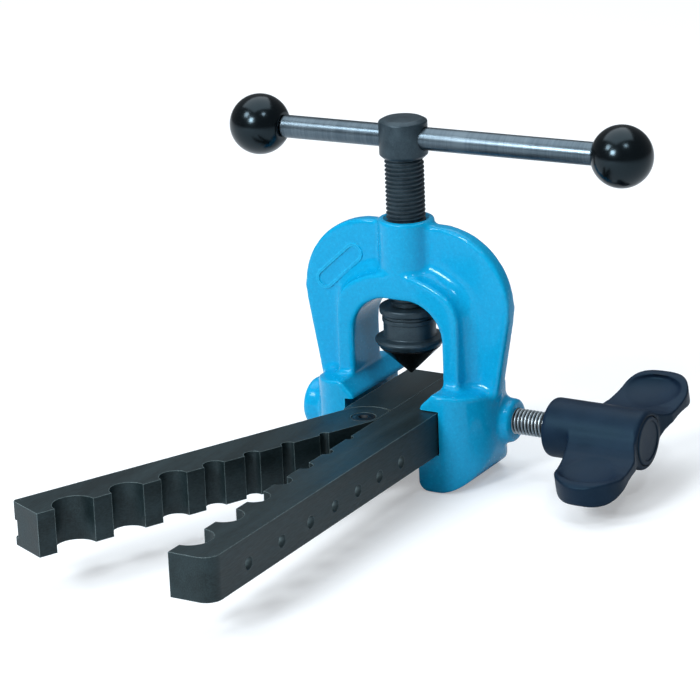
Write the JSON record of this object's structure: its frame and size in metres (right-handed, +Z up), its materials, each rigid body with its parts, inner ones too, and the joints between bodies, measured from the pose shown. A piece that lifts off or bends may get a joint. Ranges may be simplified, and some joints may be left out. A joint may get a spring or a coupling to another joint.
{
  "type": "flaring tool",
  "caption": "Tube flaring tool: hinged die bars with graded half holes, a sliding screw yoke with a swivel cone and cross bar, and a wing-knob clamp screw.",
  "frame": {"origin": "where the spindle axis meets the plane of the die bars' top faces, with the yoke at the bars' rear end", "axes": "+X out along the clamp screw, +Y along the bars to their rear end, +Z up the spindle"},
  "size_m": [0.2066, 0.2761, 0.173],
  "materials": {
    "die_steel": "blackened steel, satin, edges worn bright",
    "dark_pin": "darkened pin steel, end ground flush",
    "blue_enamel": "glossy sky-blue enamel over a rough casting",
    "black_screw": "black oxide screw",
    "phosphated_steel": "phosphated steel, satin, slightly oily",
    "burnished_cone": "hardened and burnished, black, semi-gloss",
    "ball_steel": "polished bearing steel",
    "ground_steel": "ground bright steel with faint bands",
    "black_phenolic": "polished black phenolic resin",
    "knob_plastic": "dark grey moulded nylon, fine satin texture",
    "zinc_plate": "bright zinc plate"
  },
  "bodies": {
    "die_set": {"fixed_jaw": "die_steel", "hinge_block": "die_steel", "hinge_pin": "dark_pin", "block_rivet_1": "dark_pin", "block_rivet_2": "dark_pin"},
    "swing_bar": {"swing_jaw": "die_steel"},
    "yoke_frame": {"yoke": "blue_enamel", "guide_screw": "black_screw"},
    "swivel_head": {"cone_holder": "phosphated_steel", "flaring_cone": "burnished_cone", "retaining_ring": "phosphated_steel"},
    "forcing_screw": {"spindle": "phosphated_steel", "thrust_collar": "phosphated_steel", "thrust_ball": "ball_steel"},
    "cross_bar": {"tommy_bar": "ground_steel", "ball_knob_left": "black_phenolic", "ball_knob_right": "black_phenolic"},
    "clamp_carrier": {"knob_end_cap": "knob_plastic"},
    "clamp": {"clamp_screw": "zinc_plate", "wing_knob": "knob_plastic", "knob_insert": "zinc_plate"}
  },
  "joints": [
    {"name": "jaw_hinge", "type": "hinge", "parent": "die_set", "child": "swing_bar", "pos_m": [-0.00165, -0.0423, -0.01], "axis": [0, 0, 1], "range_deg": [0, 24.7]},
    {"name": "yoke_slide", "type": "slide", "parent": "die_set", "child": "yoke_frame", "axis": [0, 1, 0], "range_m": [-0.025, 0.006]},
    {"name": "cone_feed", "type": "slide", "parent": "yoke_frame", "child": "swivel_head", "axis": [0, 0, 1], "range_m": [-0.0072, 0.0032]},
    {"name": "spindle_turn", "type": "hinge", "parent": "swivel_head", "child": "forcing_screw", "pos_m": [0, 0, 0.05], "axis": [0, 0, 1], "range_deg": [-1290, 540]},
    {"name": "cross_bar_slide", "type": "slide", "parent": "forcing_screw", "child": "cross_bar", "axis": [0.9985, 0.0541, 0], "range_m": [-0.082, 0.049]},
    {"name": "clamp_feed", "type": "slide", "parent": "yoke_frame", "child": "clamp_carrier", "axis": [1, 0, 0], "range_m": [-0.0042, 0.0101]},
    {"name": "clamp_turn", "type": "hinge", "parent": "clamp_carrier", "child": "clamp", "pos_m": [0.09, 0.01, -0.0119], "axis": [1, 0, 0], "range_deg": [-860, 2050]}
  ],
  "couplings": [
    {"joint": "cone_feed", "follows": "spindle_turn", "m_per_rad": 0.00031831},
    {"joint": "clamp_feed", "follows": "clamp_turn", "m_per_rad": 0.00027852}
  ]
}
